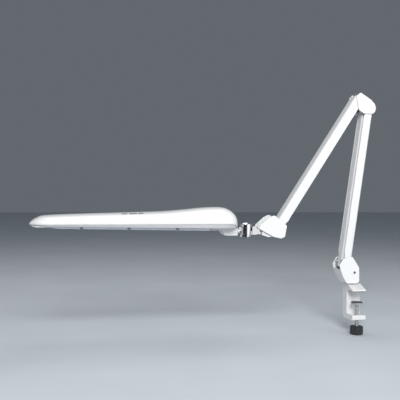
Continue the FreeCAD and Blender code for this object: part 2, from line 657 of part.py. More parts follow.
def half_width(x, inset=0):
    """Half of the head's width in plan, with rounded ends."""
    left, right = D["head_left"] + inset, D["head_right"] - inset
    share = (x - left) / (right - left)
    width = D["half_width_left"] + (D["half_width_right"] - D["half_width_left"]) * share - inset
    radius = D["end_round"]
    for distance in (x - left, right - x):
        if distance < radius:
            rise = 1 - max(distance, 0) / radius
            width -= (width - 16) * (1 - math.sqrt(max(0, 1 - rise ** 2)))
    return width


def stations(inset):
    left, right = D["head_left"] + inset, D["head_right"] - inset
    inner = [x for x, _ in CROWN if left + 1 < x < right - 1]
    near_ends = []
    for step in (0, 1.5, 4, 8, 24):
        near_ends += [left + step, right - step]
    return sorted(set(inner + near_ends))


def arch(x, half, low, high):
    """Half-elliptic section in the plane of x."""
    centre = V(x, 0, low)
    if high - low > half:
        curve = Part.Ellipse(V(x, 0, high), V(x, half, low), centre)
        arc = Part.ArcOfEllipse(curve, -math.pi / 2, math.pi / 2).toShape()
    else:
        curve = Part.Ellipse(V(x, half, low), V(x, 0, high), centre)
        arc = Part.ArcOfEllipse(curve, 0, math.pi).toShape()
    first, last = arc.Vertexes[0].Point, arc.Vertexes[-1].Point
    return Part.Wire([arc, Part.LineSegment(last, first).toShape()])


def section(x, points):
    """Closed polygon section in the plane of x, from (y, z) points."""
    corners = [V(x, y, z) for y, z in points]
    return Part.makePolygon(corners + corners[:1])


def loft(wires):
    return Part.makeLoft(wires, True, True)


def band_bottom(x):
    return between(x, [(-848, 177), (-401, 171), (-324, 171)])


def make_upper_shell():
    rim, wall = D["rim_height"], D["shell_thick"]
    outer = loft([arch(x, half_width(x), rim, max(between(x, CROWN), rim + 2)) for x in stations(0)])
    inner = loft([arch(x, half_width(x, wall), rim - 0.5, max(between(x, CROWN) - wall, rim + 0.4))
                  for x in stations(wall)])
    shell = outer.cut(inner)
    inside = outer.common(inner)
    for x, y in HEAD_SCREWS:
        boss = Part.makeCylinder(4, 60, V(x, y, 174)).cut(Part.makeCylinder(1.5, 30, V(x, y, 170)))
        shell = shell.fuse(boss.common(inside.fuse(Part.makeCylinder(4, rim - 174 + 0.2, V(x, y, 174)))))
    shell = shell.removeSplitter()
    node("head_upper_shell", fixed_shape(shell.Solids[0] if len(shell.Solids) == 1 else shell))


def make_lower_frame():
    """Inward-drafted band under the shell, open over the tubes and closed under the ballast."""
    rim, wall = D["rim_height"], D["shell_thick"]

    def trapezoid(x, inset, low_extra, high):
        top = half_width(x, 1.5 + inset)
        bottom = half_width(x, 7 + inset) if D["head_left"] + 8 < x < D["head_right"] - 8 else top - 3
        low = band_bottom(x) - low_extra
        return section(x, [(-top, high), (-bottom, low), (bottom, low), (top, high)])

    outer = loft([trapezoid(x, 0, 0, rim - 0.1) for x in stations(2)])
    inner = loft([trapezoid(x, wall, -2, rim + 3) for x in stations(5)])
    frame = outer.cut(inner)
    window = rounded_prism(WINDOW, 36.5, 39.5, 12, 160, 200)
    frame = frame.cut(window)
    for x, y in HEAD_SCREWS:
        frame = frame.cut(Part.makeCylinder(1.7, 20, V(x, y, 165)))
        frame = frame.cut(Part.makeCylinder(4.2, 20, V(x, y, 173.8)))
        frame = frame.cut(Part.makeCylinder(3.1, 10, V(x, y, 161.8)))
    frame = frame.cut(Part.makeCylinder(D["button_radius"] + 0.4, 20, V(SWITCH.x, SWITCH.y, 165)))
    node("head_lower_frame", fixed_shape(frame))


def rounded_prism(span, half_left, half_right, radius, low, high):
    """Upright prism with a tapered, round-cornered plan."""
    points = [(span[0], -half_left, radius), (span[1], -half_right, radius),
              (span[1], half_right, radius), (span[0], half_left, radius)]
    wire = Part.Wire([edge.toShape() for edge in rounded(points)])
    wire.translate(V(0, 0, low))
    return Part.Face(wire).extrude(V(0, 0, high - low))


def make_diffuser():
    """Clear ribbed cover over the tubes: a shallow sloping tray."""
    def tray(x, inset, low_extra, high):
        half = between(x, [(-848, 35.7), (-401, 38.7)]) - inset
        low = between(x, [(-848, 172.5), (-401, 165.5)]) + low_extra
        return section(x, [(-half, high), (-half + 3, low), (half - 3, low), (half, high)])

    outer = loft([tray(x, 0, 0, 180.5) for x in (WINDOW[0] + 0.6, WINDOW[1] - 0.6)])
    outer = outer.common(rounded_prism((WINDOW[0] + 0.6, WINDOW[1] - 0.6), 35.9, 38.9, 11.5, 150, 200))
    inner = loft([tray(x, 1.4, 1.4, 182) for x in (WINDOW[0] + 2.2, WINDOW[1] - 2.2)])
    inner = inner.common(rounded_prism((WINDOW[0] + 2.2, WINDOW[1] - 2.2), 34.3, 37.3, 10, 150, 200))
    node("diffuser", fixed_shape(outer.cut(inner)))


def tube_axis(x):
    return between(x, [(-840, 182.5), (-400, 177.5)])


def make_lamp():
    """Twin-tube lamp, its cap, the lampholder and the spring clip."""
    start, slope = V(-448.2, 0, tube_axis(-448)), math.degrees(math.atan2(5, 440))
    turn = FreeCAD.Rotation(V(0, 1, 0), -90 + slope)
    tubes = []
    for side in (-1, 1):
        tube = cylinder("Dims.tube_radius", "Dims.tube_length", (0, side * D["tube_spacing"] / 2, 0))
        tubes.append(tube)
    bridge = cylinder("4", "Dims.tube_spacing", (0, -D["tube_spacing"] / 2, D["tube_length"] - 12), "Y")
    lamp = fuse(*tubes, bridge)
    lamp.Placement = FreeCAD.Placement(start, turn)
    node("fluorescent_tube", lamp)
    cap = box(("Dims.cap_length", "44", "19"), (-448, -22, tube_axis(-448) - 9.5))
    node("lamp_cap", cap)
    holder = cut(box(("13", "46", "24"), (-448 + D["cap_length"], -23, tube_axis(-448) - 9.5)),
                 box(("6", "30", "6"), (-448 + D["cap_length"], -15, tube_axis(-448) - 3)))
    node("lampholder", holder)
    clip = []
    x = -700
    for side in (-1, 1):
        z = tube_axis(x)
        ring = cut(cylinder("Dims.tube_radius + 1", "8", (x, side * D["tube_spacing"] / 2, z), "X"),
                   cylinder("Dims.tube_radius + 0.15", "12", (x - 2, side * D["tube_spacing"] / 2, z), "X"),
                   box(("12", "30", "20"), (x - 2, side * D["tube_spacing"] / 2 - 15, z - 22)))
        clip.append(ring)
    bridge_plate = box(("8", "Dims.tube_spacing", "1"), (x, -D["tube_spacing"] / 2, tube_axis(x) + 8.95))
    node("tube_clip", fuse(*clip, bridge_plate))


def make_reflector():
    """Folded sheet over the tubes."""
    top, low = 193.6, 183
    sheet_thick = 0.8
    under = top - sheet_thick
    fold = [(-35, low), (-20, top), (20, top), (35, low), (33.6, low), (19.6, under), (-19.6, under),
            (-33.6, low)]
    node("reflector", fixed_shape(loft([section(x, fold) for x in (-822, -452)])))


def make_gear():
    """Ballast on its tray, terminal block, leads and the push switch."""
    node("ballast_tray", box(("52", "42", "1.6"), (-399, -21, 173.4)))
    node("ballast", box(("50", "36", "24"), (-398, -18, 175)))
    node("terminal_block", box(("24", "10", "12"), (-383, -33, 173.2)))
    leads = []
    for y in (-8, 8):
        leads.append(cylinder("1.2", "6", (-398, y, 186), "-X"))
    node("ballast_leads", group(*leads))
    switch_case = cut(cylinder("Dims.button_radius + 3", "13", (SWITCH.x, SWITCH.y, 173.2)),
                      cylinder("Dims.button_radius - 1.7", "9", (SWITCH.x, SWITCH.y, 173.1)))
    node("switch_case", switch_case)
    button = fuse(cylinder("Dims.button_radius", "6.2 - Dims.button_travel", (SWITCH.x, SWITCH.y, 166.6)),
                  cylinder("Dims.button_radius - 2", "8", (SWITCH.x, SWITCH.y, 167.5)))
    node("switch_button", button)
    screws = []
    for x, y in HEAD_SCREWS:
        screws.append(fuse(cylinder("1.5", "11.2", (x, y, 170.8)), cylinder("3", "0.9", (x, y, 170.8))))
    node("head_screws", group(*screws))


def make_roll_housing():
    """Bearing block under the head's inner end."""
    right = D["head_right"] - 0.3
    block = extrude_xz([(-370, 171, 0), (-368, 160.5, 3), (-360, D["housing_bottom"], 6),
                        (right, D["housing_bottom"], 2), (right, 171, 0)], "Dims.housing_half")
    z = D["hinge_z"]
    bush_bore = cylinder("Dims.roll_radius + 2", "30", (-323, 0, z), "-X")
    pocket = cylinder("Dims.pocket_radius", "14", (-345, 0, z), "-X")
    node("roll_housing", cut(block, bush_bore, pocket))
    bush = cut(cylinder("Dims.roll_radius + 2", "18", (right, 0, z), "-X"),
               cylinder("Dims.roll_radius + Dims.running_gap", "24", (-323, 0, z), "-X"))
    node("roll_bush", bush)


# ---------------------------------------------------------------- build, test and write

def build():
    make_clamp_frame()
    make_clamp_small_parts()
    make_clamp_screw()
    make_clamp_foot()
    make_base()
    make_elbow()
    make_wrist()
    make_channel("lower_arm_channel", P1, LOWER_DIR, D["web_cutback"], D["web_cutback"] + 2)
    make_bar("lower_link_bar", P2, LOWER_DIR, D["bar_tail"], "Dims.open_gap")
    make_spring("lower_spring", P1, LOWER_DIR, -5.6)
    make_channel("upper_arm_channel", R1, UPPER_DIR, 1, -2)
    make_bar("upper_link_bar", R2, UPPER_DIR, 7, "Dims.open_gap")
    make_spring("upper_spring", R1, UPPER_DIR, 7.3)
    make_tilt_fork()
    make_barrel()
    make_upper_shell()
    make_lower_frame()
    make_diffuser()
    make_lamp()
    make_reflector()
    make_gear()
    make_roll_housing()
    doc.recompute()


def check():
    """Stop on any failed object, and on any sub-part that isn't a valid solid."""
    for obj in doc.Objects:
        if "Invalid" in obj.State or "Error" in obj.State:
            raise RuntimeError("%s (%s) failed: %s" % (obj.Name, obj.Label, obj.State))
    for label, obj in NODES.items():
        shape = obj.Shape
        if shape.isNull() or not shape.isValid() or not shape.Solids:
            raise RuntimeError("%s has no valid solid" % label)


def write():
    os.makedirs("parts", exist_ok=True)
    for label, obj in NODES.items():
        obj.Shape.exportStep(os.path.join("parts", label + ".step"))
    print("%d sub-parts written" % len(NODES))


build()
check()
write()
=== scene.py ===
"""Looks of the swing arm desk lamp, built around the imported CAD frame.

Metres, +Z up. The head points towards -X and the near side is -Y.
"""
import json
import math

import bmesh
import bpy
from mathutils import Matrix, Vector


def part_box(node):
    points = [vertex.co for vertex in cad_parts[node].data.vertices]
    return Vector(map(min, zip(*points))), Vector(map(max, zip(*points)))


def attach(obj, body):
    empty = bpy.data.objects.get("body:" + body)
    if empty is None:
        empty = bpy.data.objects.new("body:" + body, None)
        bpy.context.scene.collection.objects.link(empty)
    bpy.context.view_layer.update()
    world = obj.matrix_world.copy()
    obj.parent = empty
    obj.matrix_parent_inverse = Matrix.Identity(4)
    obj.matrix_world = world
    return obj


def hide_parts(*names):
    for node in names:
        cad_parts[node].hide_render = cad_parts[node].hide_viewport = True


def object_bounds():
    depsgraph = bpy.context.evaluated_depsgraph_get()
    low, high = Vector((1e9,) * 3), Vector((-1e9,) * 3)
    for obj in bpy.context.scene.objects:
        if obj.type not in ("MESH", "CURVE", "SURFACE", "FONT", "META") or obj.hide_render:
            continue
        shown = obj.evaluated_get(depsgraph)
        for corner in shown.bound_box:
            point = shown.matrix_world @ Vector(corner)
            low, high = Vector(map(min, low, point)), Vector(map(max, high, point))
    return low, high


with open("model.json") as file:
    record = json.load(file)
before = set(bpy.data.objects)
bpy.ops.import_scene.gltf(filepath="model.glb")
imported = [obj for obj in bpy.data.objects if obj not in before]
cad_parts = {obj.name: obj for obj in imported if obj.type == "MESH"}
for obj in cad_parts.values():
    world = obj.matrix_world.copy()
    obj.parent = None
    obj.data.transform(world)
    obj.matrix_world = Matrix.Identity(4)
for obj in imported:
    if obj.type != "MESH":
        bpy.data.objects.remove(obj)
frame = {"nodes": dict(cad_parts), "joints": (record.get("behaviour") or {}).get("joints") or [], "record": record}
cad_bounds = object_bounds()

MM = 0.001
PIVOTS = {j["name"]: Vector(j["pos_m"]) for j in frame["joints"] if "pos_m" in j}
BODY_OF = {n: b for b, members in frame["record"]["behaviour"]["bodies"].items() for n in members}
SLOT_OF = {s["node"]: s["material_slot"] for s in frame["record"]["subparts"]}


# ---------------------------------------------------------------- materials

class Shader:
    """A Principled material with helpers for the nodes that feed it."""

    def __init__(self, name, colour, roughness, metallic=0.0):
        self.material = bpy.data.materials.new(name)
        self.material.use_nodes = True
        self.tree = self.material.node_tree
        self.surface = self.tree.nodes["Principled BSDF"]
        self.set("Base Color", (*colour, 1.0))
        self.set("Roughness", roughness)
        self.set("Metallic", metallic)
        self.coords = self.tree.nodes.new("ShaderNodeTexCoord").outputs["Object"]
        self.normal = None

    def set(self, socket, value):
        self.surface.inputs[socket].default_value = value

    def link(self, source, target):
        self.tree.links.new(source, target)

    def noise(self, scale, detail, roughness=0.5, stretch=(1, 1, 1)):
        """Noise in object space; stretch below 1 draws it out along that axis."""
        mapping = self.tree.nodes.new("ShaderNodeMapping")
        mapping.inputs["Scale"].default_value = stretch
        self.link(self.coords, mapping.inputs["Vector"])
        texture = self.tree.nodes.new("ShaderNodeTexNoise")
        texture.inputs["Scale"].default_value = scale
        texture.inputs["Detail"].default_value = detail
        texture.inputs["Roughness"].default_value = roughness
        self.link(mapping.outputs["Vector"], texture.inputs["Vector"])
        return texture.outputs["Fac"]

    def tint(self, scale, low, high):
        """Base colour that drifts between two near tones."""
        source = self.noise(scale, 4.0)
        ramp = self.tree.nodes.new("ShaderNodeValToRGB")
        for element, position, colour in zip(ramp.color_ramp.elements, (0.35, 0.65), (low, high)):
            element.position = position
            element.color = (*colour, 1.0)
        self.link(source, ramp.inputs["Fac"])
        self.link(ramp.outputs["Color"], self.surface.inputs["Base Color"])

    def vary_roughness(self, scale, low, high, stretch=(1, 1, 1)):
        """Roughness that drifts between two values."""
        spread = self.tree.nodes.new("ShaderNodeMapRange")
        spread.inputs["To Min"].default_value = low
        spread.inputs["To Max"].default_value = high
        self.link(self.noise(scale, 5.0, 0.6, stretch), spread.inputs["Value"])
        self.link(spread.outputs["Result"], self.surface.inputs["Roughness"])

    def bump(self, source, height):
        """Adds a bump of this height in metres on top of those before it."""
        node = self.tree.nodes.new("ShaderNodeBump")
        node.inputs["Strength"].default_value = 1.0
        node.inputs["Distance"].default_value = height
        self.link(source, node.inputs["Height"])
        if self.normal is not None:
            self.link(self.normal, node.inputs["Normal"])
        self.normal = node.outputs["Normal"]
        self.link(self.normal, self.surface.inputs["Normal"])


def white_paint(name, colour, roughness, peel):
    """Glossy coat with a soft orange peel, faint dust and a little tone drift."""
    shader = Shader(name, colour, roughness)
    low = tuple(c * 0.975 for c in colour)
    shader.tint(9.0, low, colour)
    shader.vary_roughness(60.0, roughness * 0.8, roughness * 1.35)
    shader.bump(shader.noise(420.0, 2.0), peel)
    shader.bump(shader.noise(2600.0, 2.0), peel * 0.12)
    shader.set("Coat Weight", 0.35)
    shader.set("Coat Roughness", 0.12)
    return shader.material


def moulded_plastic(name, colour, roughness, grain, grain_scale):
    """Injection moulding with a fine spark-eroded grain."""
    shader = Shader(name, colour, roughness)
    shader.tint(14.0, tuple(c * 0.96 for c in colour), colour)
    shader.vary_roughness(120.0, roughness * 0.85, roughness * 1.2)
    shader.bump(shader.noise(grain_scale, 4.0, 0.6), grain)
    return shader.material


def chrome(name):
    """Polished plate over steel, with faint polishing lines and a few dull patches."""
    shader = Shader(name, (0.83, 0.83, 0.84), 0.06, 1.0)
    shader.tint(25.0, (0.79, 0.79, 0.80), (0.86, 0.86, 0.87))
    shader.vary_roughness(90.0, 0.035, 0.11, (1, 1, 6))
    shader.bump(shader.noise(900.0, 2.0, 0.5, (1, 1, 8)), 0.000004)
    return shader.material


def plated_steel(name, colour, roughness):
    """Zinc-plated or blackened steel with drawn lines and mottling."""
    shader = Shader(name, colour, roughness, 1.0)
    shader.tint(160.0, tuple(c * 0.82 for c in colour), tuple(min(1, c * 1.1) for c in colour))
    shader.vary_roughness(300.0, roughness * 0.75, roughness * 1.4, (1, 1, 5))
    shader.bump(shader.noise(1500.0, 3.0, 0.6, (1, 1, 7)), 0.00001)
    return shader.material


def sheet_aluminium(name):
    """Bright anodised reflector sheet with rolling lines along its length."""
    shader = Shader(name, (0.9, 0.9, 0.91), 0.22, 1.0)
    shader.vary_roughness(500.0, 0.16, 0.32, (0.05, 1, 1))
    shader.bump(shader.noise(1200.0, 2.0, 0.5, (0.02, 1, 1)), 0.00001)
    return shader.material


def rubber(name, colour):
    """Matt rubber or soft insulation with a coarse grain."""
    shader = Shader(name, colour, 0.75)
    shader.tint(200.0, tuple(c * 0.7 for c in colour), tuple(c * 1.3 for c in colour))
    shader.bump(shader.noise(1300.0, 5.0, 0.7), 0.00008)
    shader.set("Sheen Weight", 0.15)
    return shader.material


def clear_acrylic(name):
    """Prismatic acrylic, tinted slightly lavender grey as painted shade."""
    shader = Shader(name, (0.80, 0.80, 0.90), 0.2)
    shader.tint(30.0, (0.77, 0.77, 0.88), (0.83, 0.83, 0.92))
    shader.vary_roughness(220.0, 0.14, 0.3)
    shader.bump(shader.noise(800.0, 2.0), 0.00002)
    shader.set("Transmission Weight", 0.35)
    shader.set("IOR", 1.49)
    return shader.material


def lamp_glass(name):
    """Phosphor-coated glass, unlit: white with a powdery underlayer."""
    shader = Shader(name, (0.93, 0.94, 0.94), 0.12)
    shader.tint(60.0, (0.90, 0.91, 0.90), (0.96, 0.96, 0.96))
    shader.vary_roughness(150.0, 0.08, 0.18)
    shader.bump(shader.noise(1000.0, 3.0), 0.000006)
    shader.set("Coat Weight", 0.6)
    return shader.material


MATERIALS = {
    "white_metal": white_paint("white_metal", (0.83, 0.83, 0.83), 0.24, 0.00003),
    "white_casting": white_paint("white_casting", (0.82, 0.82, 0.815), 0.30, 0.00007),
    "white_plastic": white_paint("white_plastic", (0.85, 0.85, 0.845), 0.20, 0.00001),
    "shell_plastic": white_paint("shell_plastic", (0.86, 0.86, 0.855), 0.20, 0.00001),
    # frame_plastic is white plastic painted a darker grey: painted shade for the band and step that face down and
    # inward
    "frame_plastic": moulded_plastic("frame_plastic", (0.66, 0.66, 0.67), 0.42, 0.00003, 1400.0),
    "diffuser_clear": clear_acrylic("diffuser_clear"),
    "lamp_glass": lamp_glass("lamp_glass"),
    "chrome": chrome("chrome"),
    "zinc_steel": plated_steel("zinc_steel", (0.62, 0.63, 0.65), 0.34),
    "dark_steel": plated_steel("dark_steel", (0.15, 0.15, 0.16), 0.38),
    "spring_steel": plated_steel("spring_steel", (0.45, 0.46, 0.48), 0.28),
    "reflector_aluminium": sheet_aluminium("reflector_aluminium"),
    "nylon": moulded_plastic("nylon", (0.72, 0.70, 0.64), 0.5, 0.00003, 900.0),
    "black_plastic": moulded_plastic("black_plastic", (0.025, 0.025, 0.028), 0.45, 0.00006, 1200.0),
    "pad_rubber": rubber("pad_rubber", (0.03, 0.03, 0.03)),
    "lead_insulation": rubber("lead_insulation", (0.55, 0.08, 0.05)),
}


# ---------------------------------------------------------------- mesh helpers

def add_mesh(name, mesh, node_or_slot):
    """Links a new piece with the material of its slot, which a CAD node's name also gives."""
    obj = bpy.data.objects.new(name, mesh)
    bpy.context.scene.collection.objects.link(obj)
    slot = SLOT_OF.get(node_or_slot, node_or_slot)
    mesh.materials.clear()
    mesh.materials.append(MATERIALS[slot])
    return obj


def modifier(obj, kind, **settings):
    """Adds a modifier with these settings."""
    added = obj.modifiers.new(kind.lower(), kind)
    for key, value in settings.items():
        setattr(added, key, value)


def sharp_edges(work, degrees):
    """Edges whose two faces meet at more than this angle."""
    limit = math.radians(degrees)
    return [e for e in work.edges if len(e.link_faces) == 2 and e.calc_face_angle(0) > limit]


def smooth(mesh, degrees):
    """Smooth shading, with edges sharper than this kept crisp."""
    for polygon in mesh.polygons:
        polygon.use_smooth = True
    mesh.update()
    work = bmesh.new()
    work.from_mesh(mesh)
    for edge in sharp_edges(work, degrees):
        edge.smooth = False
    work.to_mesh(mesh)
    work.free()


def stand_in(node, piece):
    """The piece takes the place of one CAD node and rides where it rode."""
    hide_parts(node)
    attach(piece, BODY_OF[node])


def softened(node, width_mm):
    """A copy of a CAD node with its crisp edges rounded off."""
    mesh = frame["nodes"][node].data.copy()
    work = bmesh.new()
    work.from_mesh(mesh)
    bmesh.ops.remove_doubles(work, verts=work.verts, dist=1e-6)
    bmesh.ops.dissolve_limit(work, angle_limit=math.radians(1.0), verts=work.verts, edges=work.edges)
    bmesh.ops.bevel(work, geom=sharp_edges(work, 30), offset=width_mm * MM, segments=3, profile=0.5,
                    affect="EDGES", clamp_overlap=True)
    work.to_mesh(mesh)
    work.free()
    smooth(mesh, 40)
    obj = add_mesh(node + "_finished", mesh, node)
    modifier(obj, "WEIGHTED_NORMAL", keep_sharp=True, weight=80)
    stand_in(node, obj)


def loft(name, sections, closed_sections, cap_ends=False):
    """Quads between neighbouring sections, which all have the same number of points."""
    work = bmesh.new()
    rows = [[work.verts.new(p) for p in section] for section in sections]
    count = len(rows[0])
    last = count if closed_sections else count - 1
    for first, second in zip(rows, rows[1:]):
        for i in range(last):
            j = (i + 1) % count
            work.faces.new((first[i], first[j], second[j], second[i]))
    if cap_ends:
        work.faces.new(rows[0])
        work.faces.new(list(reversed(rows[-1])))
    bmesh.ops.recalc_face_normals(work, faces=work.faces)
    mesh = bpy.data.meshes.new(name)
    work.to_mesh(mesh)
    work.free()
    return mesh


def eased(x, points):
    """Smooth (monotone cubic) curve through (x, value) points, level beyond both ends."""
    if x <= points[0][0]:
        return points[0][1]
    if x >= points[-1][0]:
        return points[-1][1]
    slopes = []
    for i in range(len(points) - 1):
        slopes.append((points[i + 1][1] - points[i][1]) / (points[i + 1][0] - points[i][0]))
    for i in range(len(points) - 1):
        x0, y0 = points[i]
        x1, y1 = points[i + 1]
        if x <= x1:
            span = x1 - x0
            t = (x - x0) / span
            before = slopes[i - 1] if i else slopes[i]
            after = slopes[i + 1] if i + 1 < len(slopes) else slopes[i]
            m0 = joined_slope(before, slopes[i]) * span
            m1 = joined_slope(slopes[i], after) * span
            return ((2 * t ** 3 - 3 * t ** 2 + 1) * y0 + (t ** 3 - 2 * t ** 2 + t) * m0
                    + (3 * t ** 2 - 2 * t ** 3) * y1 + (t ** 3 - t ** 2) * m1)


def joined_slope(a, b):
    """Slope where two stretches meet, level at a peak or a dip."""
    return 0.0 if a * b <= 0 else 2 * a * b / (a + b)


def crowded_shares(count):
    """Shares from 0 to 1 that crowd towards both ends."""
    return [0.5 - 0.5 * math.cos(math.pi * i / (count - 1)) for i in range(count)]


# ---------------------------------------------------------------- head

shell_low, shell_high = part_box("head_upper_shell")
HEAD_LEFT, HEAD_RIGHT = shell_low.x, shell_high.x
HALF_WIDE = shell_high.y
RIM = shell_high.z - 42.5 * MM
# The crown line, as (distance from the left tip, height above the rim) in mm.
CROWN = [(0, 0.6), (3, 6.2), (9, 11.6), (17, 16.2), (31, 21.3), (74, 24), (171, 27), (246, 29),
         (322, 31.5), (386, 36.5), (425, 40.5), (452, 42), (473, 42.4), (486, 40.8), (498, 36.4),
         (509, 29), (517, 19.5), (520.5, 10), (521.5, 2.4)]
# The plan's round ends (length, roundness, half width of the blunt tip) and the left end's narrowing.
END_ROUND = 46 * MM
END_POWER = 2.3
BLUNT_TIP = 7 * MM
NARROWING = 10 * MM
# Roundness of the arch across the shell, where 2 is an ellipse.
ARCH_POWER = 2.35
# Points along each side of the band's rings.
RING_STATIONS = 80


def crown_height(x):
    """Height of the crown line above the rim."""
    return eased((x - HEAD_LEFT) / MM, CROWN) * MM


def head_half_width(x, inset=0.0):
    """Half of the plan width, with the ends rounded off to a blunt tip."""
    left, right = HEAD_LEFT + inset, HEAD_RIGHT - inset
    share = (x - left) / (right - left)
    width = HALF_WIDE - inset - NARROWING * (1 - share)
    for distance in (x - left, right - x):
        if distance < END_ROUND:
            rise = 1 - max(distance, 0) / END_ROUND
            width = BLUNT_TIP + (width - BLUNT_TIP) * math.sqrt(max(0.0, 1 - rise ** END_POWER))
    return width


def head_stations(inset, count):
    """Places along the head, closer together towards both tips."""
    left, right = HEAD_LEFT + inset, HEAD_RIGHT - inset
    return [left + (right - left) * s for s in crowded_shares(count)]


def shell_foot(x):
    """Height of the shell's lower edge, which runs down over the band at the right end."""
    drop = eased((HEAD_RIGHT - x) / MM, [(0, 9.2), (2, 8.6), (10, 3.5), (24, 0)])
    return RIM - drop * MM


def shell_height(x, y):
    """Outer surface of the shell above a point of the plan."""
    lip = 2.2 * MM
    height = crown_height(x)
    low = min(lip, height * 0.4)
    share = min(1.0, abs(y) / head_half_width(x))
    return RIM + low + (height - low) * (1 - share ** ARCH_POWER) ** (1 / ARCH_POWER)


def make_upper_shell():
    """Domed shell on a short upright lip, as one moulded skin."""
    stations, steps = 110, 40
    draft = 0.25 * MM
    sections = []
    for x in head_stations(0, stations):
        half = head_half_width(x)
        foot = shell_foot(x)
        ring = [Vector((x, half - draft, foot))]
        for i in range(steps + 1):
            across = math.cos(math.pi * i / steps)
            y = half * math.copysign(abs(across) ** (2 / ARCH_POWER), across)
            ring.append(Vector((x, y, shell_height(x, y))))
        ring.append(Vector((x, -half + draft, foot)))
        sections.append(ring)
    mesh = loft("head_shell_skin", sections, False, cap_ends=True)
    smooth(mesh, 60)
    obj = add_mesh("head_shell_skin", mesh, "head_upper_shell")
    modifier(obj, "SOLIDIFY", thickness=2 * MM, offset=-1, use_even_offset=False)
    stand_in("head_upper_shell", obj)


def band_bottom(x):
    """Underside of the band, which rises towards the left tip and is level near the bearing."""
    tip_rise, level_from = 6 * MM, 0.853
    share = (x - HEAD_LEFT) / (HEAD_RIGHT - HEAD_LEFT)
    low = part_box("head_lower_frame")[0].z
    return low + tip_rise * max(0.0, 1 - share / level_from)


def plan_ring(inset, height):
    """Closed ring round the head's plan outline; it stays close to the shell's end wall at the right."""
    wall_gap, blend_length = 2.6 * MM, 40 * MM
    shift = max(0.0, inset - wall_gap)
    near, far = [], []
    for x in head_stations(inset, RING_STATIONS):
        half = head_half_width(x, inset)
        share = max(0.0, 1 - (HEAD_RIGHT - inset - x) / blend_length)
        place = x + shift * share
        near.append(Vector((place, half, height(x))))
        far.append(Vector((place, -half, height(x))))
    return near + far[::-1]


diffuser_low, diffuser_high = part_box("diffuser")
WINDOW_LEFT = diffuser_low.x - 0.6 * MM
WINDOW_RIGHT = diffuser_high.x + 0.6 * MM
WINDOW_HALF = 36.5 * MM
WINDOW_WIDENING = 3 * MM
WINDOW_CORNER = 12 * MM


def window_half(x, grow=0):
    """Half of the tube window's width, with round corners; grow moves its edge outward."""
    left, right = WINDOW_LEFT - grow, WINDOW_RIGHT + grow
    share = (x - left) / (right - left)
    width = WINDOW_HALF + WINDOW_WIDENING * share + grow
    for distance in (x - left, right - x):
        if distance < WINDOW_CORNER:
            rise = 1 - max(distance, 0) / WINDOW_CORNER
            width -= WINDOW_CORNER * (1 - math.sqrt(max(0.0, 1 - rise ** 2)))
    return width


def window_ring(grow, height):
    """Closed ring round the tube window, with as many points as a plan ring."""
    left, right = WINDOW_LEFT - grow, WINDOW_RIGHT + grow
    xs = [left + (right - left) * s for s in crowded_shares(RING_STATIONS)]
    near = [Vector((x, window_half(x, grow), height(x))) for x in xs]
    far = [Vector((x, -window_half(x, grow), height(x))) for x in reversed(xs)]
    return near + far


def make_lower_frame():
    """Band that drafts inward below the shell's rim, with a rounded foot and the tube window."""
    rings = [
        plan_ring(3.4 * MM, lambda x: RIM + 1.0 * MM),
        plan_ring(1.4 * MM, lambda x: RIM - 0.05 * MM),
        plan_ring(1.2 * MM, lambda x: RIM - 0.5 * MM),
        plan_ring(1.5 * MM, lambda x: RIM - 1.2 * MM),
        plan_ring(5.6 * MM, lambda x: band_bottom(x) + 1.6 * MM),
        plan_ring(6.2 * MM, lambda x: band_bottom(x) + 0.6 * MM),
        plan_ring(7.4 * MM, lambda x: band_bottom(x)),
        window_ring(0.8 * MM, lambda x: band_bottom(x)),
        window_ring(0.1 * MM, lambda x: band_bottom(x) + 0.5 * MM),
        window_ring(0, lambda x: band_bottom(x) + 2 * MM),
        window_ring(1.2 * MM, lambda x: band_bottom(x) + 2.1 * MM),
    ]
    mesh = loft("head_band", rings, True)
    smooth(mesh, 45)
    # The band's darker frame_plastic grey is painted shade on white plastic
    obj = add_mesh("head_band", mesh, "head_lower_frame")
    modifier(obj, "SOLIDIFY", thickness=1.2 * MM, offset=-1, use_even_offset=False)
    stand_in("head_lower_frame", obj)


def diffuser_bottom(x):
    """The tray leaves the band's underside near the left end and slopes down to the right."""
    drop = eased((x - WINDOW_LEFT) / MM, [(0, -1.5), (28, -0.3), (62, 3.4), (438, 5.5)])
    return band_bottom(x) - drop * MM


def make_diffuser():
    """Prismatic tray: smooth side walls and fine ribs along the underside."""
    stations, ribs = 60, 22
    rib_depth, gap = 0.55 * MM, 0.7 * MM
    corner = ((0.6, 3.2), (1.6, 1.2), (3.2, 0.5))  # (inward, above the underside) in mm
    left, right = WINDOW_LEFT + gap, WINDOW_RIGHT - gap
    top = RIM - 1.5 * MM
    sections = []
    for x in [left + (right - left) * s for s in crowded_shares(stations)]:
        half = window_half(x) - gap
        low = diffuser_bottom(x)
        wall = [Vector((x, half, top))]
        wall += [Vector((x, half - inward * MM, low + above * MM)) for inward, above in corner]
        ribbed = []
        flat = half - 4 * MM
        for i in range(2 * ribs + 1):
            y = flat - 2 * flat * i / (2 * ribs)
            ribbed.append(Vector((x, y, low + (rib_depth if i % 2 == 0 else 0))))
        far_wall = [Vector((x, -p.y, p.z)) for p in reversed(wall)]
        sections.append(wall + ribbed + far_wall)
    end_walls = [[Vector((p.x, p.y, top)) for p in sections[end]] for end in (0, -1)]
    mesh = loft("diffuser_tray", [end_walls[0], *sections, end_walls[1]], False)
    smooth(mesh, 30)
    # The tray's lavender tint from its material is painted shade
    obj = add_mesh("diffuser_tray", mesh, "diffuser")
    modifier(obj, "SOLIDIFY", thickness=1.3 * MM, offset=-1, use_even_offset=False)
    stand_in("diffuser", obj)


